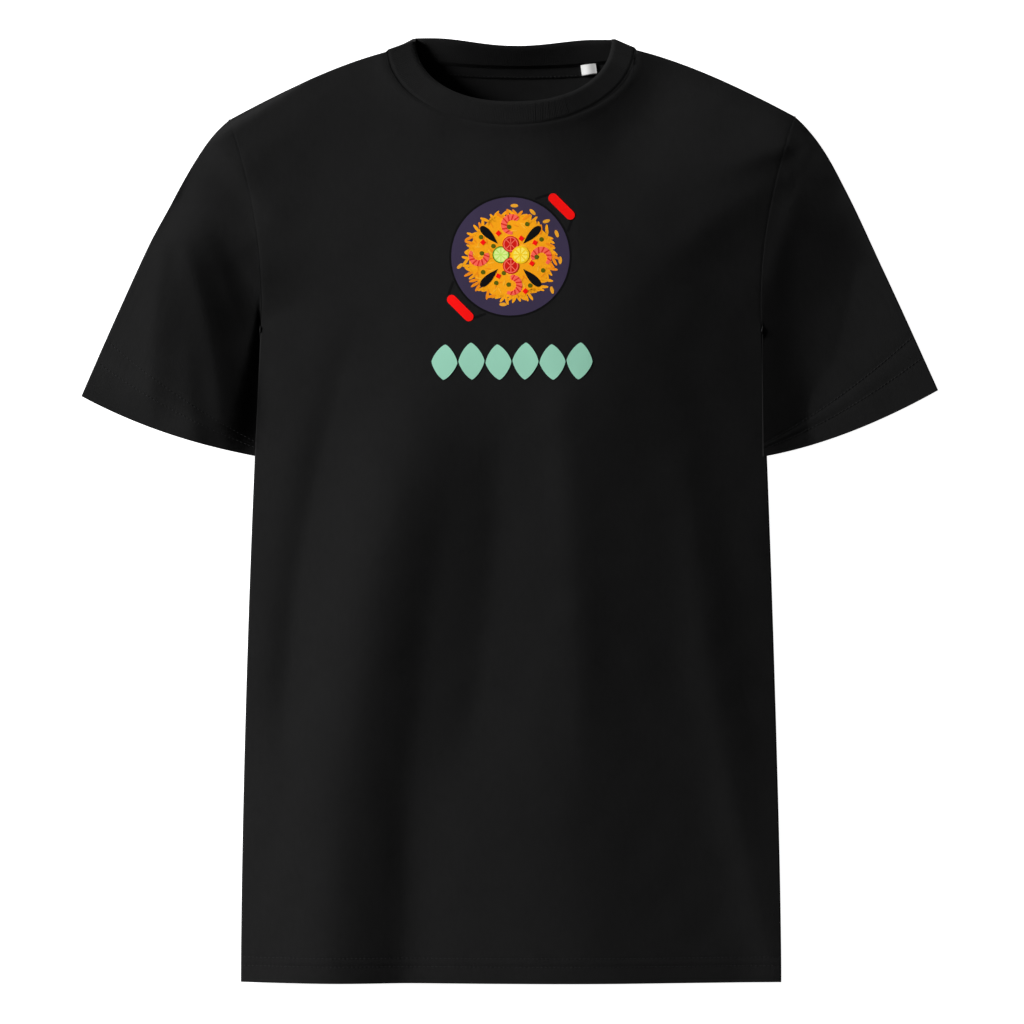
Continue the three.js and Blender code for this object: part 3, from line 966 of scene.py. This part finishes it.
def turned(outline, angle):
    c, s = math.cos(angle), math.sin(angle)
    return np.asarray(outline) @ np.array(((c, s), (-s, c)))


def oval(rx, ry=None, angle=0.0, count=40, square=1.0):
    """An ellipse; square under 1 makes its corners fuller."""
    a = np.linspace(0, 2 * math.pi, count, endpoint=False)
    c, s = np.cos(a), np.sin(a)
    ry = rx if ry is None else ry
    outline = np.stack((rx * np.sign(c) * np.abs(c) ** square, ry * np.sign(s) * np.abs(s) ** square), -1)
    return turned(outline, angle)


def capsule(length, width, angle):
    a = np.linspace(-math.pi / 2, math.pi / 2, 12)
    cap = np.stack((np.cos(a), np.sin(a)), -1) * width / 2
    shift = np.array(((length - width) / 2, 0))
    return turned(np.concatenate((cap + shift, -cap - shift)), angle)


def teardrop(length, width, angle):
    """A mussel shell: round at one end and pointed at the other, which lies along the angle."""
    a = np.linspace(0, 2 * math.pi, 36, endpoint=False)
    x = np.cos(a) * length / 2
    y = np.sin(a) * width / 2 * (0.5 - 0.5 * np.cos(a)) ** 0.55 * 1.12
    return turned(np.stack((x, y), -1), angle)


def polar(radius, degrees):
    a = np.radians(degrees)
    return np.stack((radius * np.cos(a), radius * np.sin(a)), -1)


def grain(angle):
    return oval(3.1, 1.45, angle, 14)


def make_print():
    rng = np.random.default_rng(7)
    layers = ["black", "slate", "rice", "deep_rice", "pale_rice", "straw", "prawn", "prawn_stripe", "pea",
              "red", "lime_rind", "lime", "lime_light", "tomato", "tomato_light", "lemon", "lemon_light",
              "mint"]
    ink = {name: Ink(name, min(k, 3) if k < 6 else 4 + (k - 6) * 0.25) for k, name in enumerate(layers)}
    ink["shell"] = Ink("black", 5)

    # the pan, its brackets and its handles
    ink["black"].shape((0, 0), oval(49.2, count=120))
    ink["slate"].shape((0, 0), oval(47.5, count=120))
    for turn in (0, math.pi):
        for mirror in (1, -1):
            bracket = np.array(((46.5, 18.5 * mirror), (53.0, 15.5 * mirror), (57.5, 13.0 * mirror)))
            ink["black"].ribbon(turned(bracket, math.pi / 4 + turn), 1.0)
        handle = turned(np.array((57.6, 0)), math.pi / 4 + turn) + (0.4, -0.7)
        ink["red"].shape(handle, capsule(27, 7.6, -math.pi / 4 + turn))

    # the rice: a bed of grains with a ragged rim
    bed = np.arange(0, 360, 4.0)
    ink["rice"].shape((0, 0), polar(33.6 + rng.uniform(-1.2, 1.2, len(bed)), bed))
    for degrees in np.arange(0, 360, 5.2):
        radius = 34.2 + rng.uniform(-1.6, 2.4)
        lean = math.radians(degrees) + rng.choice((-1, 1)) * rng.uniform(0.0, 1.0)
        name = rng.choice(("rice", "rice", "rice", "deep_rice"))
        ink[name].shape(polar(radius, degrees), oval(4.1, 1.2, lean, 16))
    for _ in range(56):
        spot = polar(32 * math.sqrt(rng.uniform(0.05, 1)), rng.uniform(0, 360))
        name = rng.choice(("deep_rice", "pale_rice"))
        ink[name].shape(spot, oval(2.6, 0.5, rng.uniform(0, math.pi), 10))
    loose = ((3.2, 40.8, 0), (17.8, 35.6, -45), (37.2, 18.1, -70), (40, -3.3, 90), (-40.4, -7.6, 40),
             (-5.8, -38.6, 0), (28.9, 28.2, 15), (33.4, -27.2, -75))
    for x, y, degrees in loose:
        ink["straw"].shape((x, y), grain(math.radians(degrees)))

    # a prawn on each side, curled from its head to its thinner tail
    prawns = (
        ((1.2, 25.2), 40, 275),
        ((-25.5, 1.0), 375, 150),
        ((24.9, -1.0), 195, -50),
        ((0.7, -23.2), 95, -120),
    )
    for centre, head, tail in prawns:
        sweep = np.linspace(head, tail, 40)
        size = np.interp(np.linspace(0, 1, 40), (0, 0.1, 0.6, 1), (1.4, 2.4, 2.4, 1.2))
        ink["prawn"].ribbon(np.asarray(centre) + polar(6.4, sweep), size)
        for k in range(3, 38, 5):
            inner, outer = polar(6.4 - size[k], sweep[k] + 7), polar(6.4 + size[k], sweep[k] - 7)
            ink["prawn_stripe"].ribbon(np.asarray(centre) + np.linspace(inner, outer, 4), 0.55)

    # mussels on the diagonals
    for degrees in (45, 135, 225, 315):
        ink["shell"].shape(polar(24.2, degrees), teardrop(19.5, 7.4, math.radians(degrees + 180)))

    # peas and diced pepper
    peas = ((13.5, 25.9), (-1.1, 23.7), (24.9, 13.6), (-13.7, 8.3), (-23, 2.5), (-22, -12.6), (-5.3, -13.4),
            (-11.4, -21.3), (-1.5, -22.7), (15.8, -23.5), (26.2, -11.4), (-23.6, 15.6), (21.0, -0.6))
    for spot in peas:
        ink["pea"].shape(spot, oval(1.8, count=18))
    pepper = ((-9.6, 18.6), (8.8, 14.4), (19.8, 10.9), (-22, 11.3), (17.3, -5.8), (-9.6, -15.8), (12, -28))
    for k, spot in enumerate(pepper):
        ink["red"].shape(spot, turned(polar(2.5, np.array((0, 90, 180, 270))), 0.15 * (k % 3)))

    # slices of tomato, lime and lemon in the middle
    for centre in ((0.2, 9.8), (0.4, -7.6)):
        ink["tomato"].shape(centre, oval(6.6, count=40))
        ink["tomato_light"].ribbon(np.asarray(centre) + polar(5.4, np.linspace(0, 360, 40)), 0.45)
        for degrees in (45, 135, 90):
            spoke = np.linspace(polar(5.1, degrees), polar(-5.1, degrees), 8)
            ink["tomato_light"].ribbon(np.asarray(centre) + spoke, 0.38)
    ink["lime_rind"].shape((-7.6, 1.3), oval(6.8, count=40))
    ink["lime"].shape((-7.6, 1.3), oval(6.0, count=40))
    ink["lemon"].shape((8.1, 1.2), oval(7.1, count=40))
    for degrees in np.arange(22.5, 360, 45):
        for name, centre, reach in (("lime_light", (-7.6, 1.3), 5.2), ("lemon_light", (8.1, 1.2), 5.7)):
            rim = polar(reach, np.linspace(degrees - 16, degrees + 16, 6))
            wedge = np.concatenate((polar(0.9, [degrees]), rim))
            middle = wedge.mean(0)
            ink[name].shape(np.asarray(centre) + middle, wedge - middle)

    # a row of plain lozenges under the pan
    for k, lean in enumerate((-3, 2, 4, -2, 3, -4)):
        outline = oval(10.4, 14.8 if k % 2 else 14.2, math.radians(lean), 48, 1.45)
        ink["mint"].shape((-53.0 + 21.7 * k, -84.6 + (0.5 if k % 2 else -0.3)), outline)
    return [layer.finish() for layer in ink.values() if layer.points]


drawing = make_print()

# ------------------------------------------------------------------ floor, light and camera

FLOOR_HALF = 4000
FLOOR_Z = -0.3

n = Nodes("floor")
n.shader.inputs["Base Color"].default_value = (0.86, 0.86, 0.855, 1)
n.shader.inputs["Roughness"].default_value = 0.9
n.shader.inputs["Emission Color"].default_value = (1, 1, 1, 1)
n.shader.inputs["Emission Strength"].default_value = 1.0
floor_corners = [(x * FLOOR_HALF, y * FLOOR_HALF, FLOOR_Z) for x, y in ((-1, -1), (1, -1), (1, 1), (-1, 1))]
floor = new_object("floor", floor_corners, [(0, 1, 2, 3)], n.material)

KEY_ELEVATION = math.radians(17.6)
KEY_AZIMUTH = 0.3  # radians from straight left towards the top of the picture

key_data = bpy.data.lights.new("key", "SUN")
key_data.energy = 8.0
key_data.angle = math.radians(18)
key = bpy.data.objects.new("key", key_data)
towards = Vector((-math.cos(KEY_ELEVATION) * math.cos(KEY_AZIMUTH),
                  math.cos(KEY_ELEVATION) * math.sin(KEY_AZIMUTH), math.sin(KEY_ELEVATION)))
key.rotation_euler = (-towards).to_track_quat("-Z", "Y").to_euler()
bpy.context.scene.collection.objects.link(key)

world = bpy.data.worlds.new("studio")
bpy.context.scene.world = world
world.use_nodes = True
world.node_tree.nodes["Background"].inputs["Color"].default_value = (1, 1, 1, 1)
world.node_tree.nodes["Background"].inputs["Strength"].default_value = 0.03
bpy.context.scene.view_settings.view_transform = "Standard"

CAMERA_HEIGHT = 3.0
PRINT_HEIGHT = 0.018  # height over the floor at which the picture's width is measured
PICTURE_WIDTH = 0.8253
camera_data = bpy.data.cameras.new("camera")
camera_data.sensor_width = 36
camera_data.lens = 36 * (CAMERA_HEIGHT - PRINT_HEIGHT) / PICTURE_WIDTH
camera = bpy.data.objects.new("camera", camera_data)
camera.location = (0.0008, -0.0012, CAMERA_HEIGHT)
bpy.context.scene.collection.objects.link(camera)
bpy.context.scene.camera = camera
